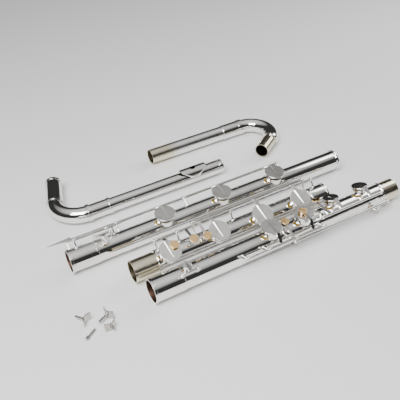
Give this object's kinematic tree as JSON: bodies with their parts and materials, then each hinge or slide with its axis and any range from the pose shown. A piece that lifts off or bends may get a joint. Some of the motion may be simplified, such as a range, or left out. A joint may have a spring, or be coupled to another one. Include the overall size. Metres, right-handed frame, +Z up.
{
  "type": "contrabass flute",
  "caption": "Large bass-family concert flute taken apart into head joint, crook, two keyed bodies and foot, with open cups, pads, rods and hand rests.",
  "frame": {"origin": "on the floor under the centre of the whole set as it lies", "axes": "+X along the three keyed sections, from their left ends to their right ends; +Y away from the front section towards the crook; +Z up"},
  "size_m": [0.7591, 0.5154, 0.0785],
  "materials": {
    "silver_plate": "mirror-polished silver plate",
    "silver_key": "polished silver-plated keywork",
    "bare_tenon": "brushed, unplated pale nickel silver",
    "gold_touch": "polished gold plate",
    "key_pad": "matt yellow skin over felt",
    "steel": "polished steel",
    "rest_plate": "polished plate",
    "cork": "matt natural cork"
  },
  "bodies": {
    "middle_body": {"middle_tube": "silver_plate", "middle_fittings": "silver_plate", "middle_tenon": "bare_tenon", "middle_posts": "silver_plate", "middle_steelwork": "steel"},
    "upper_body": {"upper_tube": "silver_plate", "upper_fittings": "silver_plate", "upper_tenon": "bare_tenon", "upper_posts": "silver_plate", "upper_steelwork": "steel"},
    "foot_body": {"foot_tube": "silver_plate", "foot_fittings": "silver_plate", "foot_posts": "silver_plate", "foot_steelwork": "steel"},
    "head_elbow_body": {"head_elbow": "silver_plate", "head_sleeves": "silver_plate"},
    "head_tube_body": {"head_tube": "silver_plate", "lip_plate": "silver_plate", "mouth_riser": "silver_plate"},
    "crown_body": {"crown": "silver_plate"},
    "stopper_body": {"head_cork": "cork", "stopper_screw": "steel"},
    "crook_body": {"crook_leg": "bare_tenon", "crook_bend": "silver_plate", "crook_fittings": "silver_plate", "crook_tenon": "bare_tenon"},
    "hand_rest_a_body": {"hand_rest_a": "rest_plate"},
    "hand_rest_b_body": {"hand_rest_b": "rest_plate"},
    "thumb_rest_body": {"thumb_rest": "rest_plate"},
    "lyre_peg_body": {"lyre_peg": "rest_plate"},
    "vent_key_body": {"vent_key": "silver_key", "vent_pad": "key_pad"},
    "side_key_body": {"side_key": "silver_key", "side_pad": "key_pad"},
    "upper_a_key_body": {"upper_a_key": "silver_key", "upper_a_pad": "key_pad", "upper_a_touch": "gold_touch"},
    "upper_b_key_body": {"upper_b_key": "silver_key", "upper_b_pad": "key_pad", "upper_b_touch": "gold_touch"},
    "trill_key_body": {"trill_key": "silver_key", "trill_pads": "key_pad", "trill_touch": "gold_touch"},
    "middle_a_key_body": {"middle_a_key": "silver_key", "middle_a_pad": "key_pad", "middle_a_touch": "gold_touch"},
    "middle_b_key_body": {"middle_b_key": "silver_key", "middle_b_pad": "key_pad", "middle_b_touch": "gold_touch"},
    "middle_cd_key_body": {"middle_cd_key": "silver_key", "middle_cd_pads": "key_pad", "middle_cd_touch": "gold_touch"},
    "foot_a_key_body": {"foot_a_key": "silver_key", "foot_a_pad": "key_pad"},
    "foot_bc_key_body": {"foot_bc_key": "silver_key", "foot_bc_pads": "key_pad"},
    "foot_vent_key_body": {"foot_vent_key": "silver_key", "foot_vent_pad": "key_pad"},
    "foot_lever_a_body": {"foot_lever_a": "silver_key"},
    "foot_lever_b_body": {"foot_lever_b": "silver_key"}
  },
  "joints": [
    {"name": "upper_lift", "type": "slide", "parent": "middle_body", "child": "upper_body", "axis": [0, 0, 1], "range_m": [0, 0.1]},
    {"name": "foot_lift", "type": "slide", "parent": "middle_body", "child": "foot_body", "axis": [0, 0, 1], "range_m": [0, 0.1]},
    {"name": "head_lift", "type": "slide", "parent": "middle_body", "child": "head_elbow_body", "axis": [0, 0, 1], "range_m": [0, 0.1]},
    {"name": "crook_lift", "type": "slide", "parent": "middle_body", "child": "crook_body", "axis": [0, 0, 1], "range_m": [0, 0.1]},
    {"name": "hand_rest_a_lift", "type": "slide", "parent": "middle_body", "child": "hand_rest_a_body", "axis": [0, 0, 1], "range_m": [0, 0.06]},
    {"name": "hand_rest_b_lift", "type": "slide", "parent": "middle_body", "child": "hand_rest_b_body", "axis": [0, 0, 1], "range_m": [0, 0.06]},
    {"name": "thumb_rest_lift", "type": "slide", "parent": "middle_body", "child": "thumb_rest_body", "axis": [0, 0, 1], "range_m": [0, 0.06]},
    {"name": "lyre_peg_lift", "type": "slide", "parent": "middle_body", "child": "lyre_peg_body", "axis": [0, 0, 1], "range_m": [0, 0.06]},
    {"name": "tuning_slide", "type": "slide", "parent": "head_elbow_body", "child": "head_tube_body", "axis": [1, 0, 0], "range_m": [0, 0.02]},
    {"name": "crown_turn", "type": "hinge", "parent": "head_tube_body", "child": "crown_body", "pos_m": [0.0935, 0.0922, 0.0215], "axis": [1, 0, 0], "range_deg": [-720, 720]},
    {"name": "stopper_slide", "type": "slide", "parent": "head_tube_body", "child": "stopper_body", "axis": [1, 0, 0], "range_m": [-0.0017, 0.0017]},
    {"name": "vent_open", "type": "hinge", "parent": "upper_body", "child": "vent_key_body", "pos_m": [-0.1555, -0.23459, 0.05446], "axis": [1, 0, 0], "range_deg": [0, 8], "stiffness_Nm_per_rad": 0.0111, "springref_deg": -28.65},
    {"name": "side_open", "type": "hinge", "parent": "upper_body", "child": "side_key_body", "pos_m": [0.20385, -0.25364, 0.03428], "axis": [-1, 0, 0], "range_deg": [0, 8], "stiffness_Nm_per_rad": 0.0092, "springref_deg": -28.65},
    {"name": "upper_a_press", "type": "hinge", "parent": "upper_body", "child": "upper_a_key_body", "pos_m": [0.04888, -0.25252, 0.04278], "axis": [-1, 0, 0], "range_deg": [0, 6], "stiffness_Nm_per_rad": 0.0497, "springref_deg": -28.65},
    {"name": "upper_b_press", "type": "hinge", "parent": "upper_body", "child": "upper_b_key_body", "pos_m": [0.11808, -0.25252, 0.04278], "axis": [-1, 0, 0], "range_deg": [0, 6], "stiffness_Nm_per_rad": 0.0498, "springref_deg": -28.65},
    {"name": "trill_press", "type": "hinge", "parent": "upper_body", "child": "trill_key_body", "pos_m": [0.2356, -0.24284, 0.05636], "axis": [-1, 0, 0], "range_deg": [0, 6], "stiffness_Nm_per_rad": 0.0747, "springref_deg": -28.65},
    {"name": "middle_a_press", "type": "hinge", "parent": "middle_body", "child": "middle_a_key_body", "pos_m": [-0.16111, -0.12373, 0.06163], "axis": [1, 0, 0], "range_deg": [0, 6], "stiffness_Nm_per_rad": 0.058, "springref_deg": -28.65},
    {"name": "middle_b_press", "type": "hinge", "parent": "middle_body", "child": "middle_b_key_body", "pos_m": [-0.06415, -0.12373, 0.06163], "axis": [1, 0, 0], "range_deg": [0, 6], "stiffness_Nm_per_rad": 0.0617, "springref_deg": -28.65},
    {"name": "middle_cd_press", "type": "hinge", "parent": "middle_body", "child": "middle_cd_key_body", "pos_m": [0.04635, -0.12799, 0.07424], "axis": [1, 0, 0], "range_deg": [0, 6], "stiffness_Nm_per_rad": 0.097, "springref_deg": -28.65},
    {"name": "foot_a_press", "type": "hinge", "parent": "foot_body", "child": "foot_a_key_body", "pos_m": [-0.1384, -0.01574, 0.05265], "axis": [1, 0, 0], "range_deg": [0, 6], "stiffness_Nm_per_rad": 0.0459, "springref_deg": -28.65},
    {"name": "foot_bc_press", "type": "hinge", "parent": "foot_body", "child": "foot_bc_key_body", "pos_m": [0.07185, -0.01574, 0.05265], "axis": [1, 0, 0], "range_deg": [0, 6], "stiffness_Nm_per_rad": 0.0839, "springref_deg": -28.65},
    {"name": "foot_vent_open", "type": "hinge", "parent": "foot_body", "child": "foot_vent_key_body", "pos_m": [-0.2613, -0.04456, 0.06076], "axis": [-1, 0, 0], "range_deg": [0, 8], "stiffness_Nm_per_rad": 0.011, "springref_deg": -28.65},
    {"name": "foot_lever_a_press", "type": "hinge", "parent": "foot_body", "child": "foot_lever_a_body", "pos_m": [-0.29945, -0.01574, 0.05265], "axis": [1, 0, 0], "range_deg": [0, 6], "stiffness_Nm_per_rad": 0.0089, "springref_deg": -28.65},
    {"name": "foot_lever_b_press", "type": "hinge", "parent": "foot_body", "child": "foot_lever_b_body", "pos_m": [-0.2601, -0.0259, 0.05785], "axis": [1, 0, 0], "range_deg": [0, 6], "stiffness_Nm_per_rad": 0.0092, "springref_deg": -28.65}
  ],
  "couplings": [
    {"joint": "stopper_slide", "follows": "crown_turn", "m_per_rad": 0.00012732},
    {"joint": "foot_a_press", "follows": "foot_lever_a_press", "ratio": 1},
    {"joint": "foot_bc_press", "follows": "foot_lever_b_press", "ratio": 1}
  ]
}
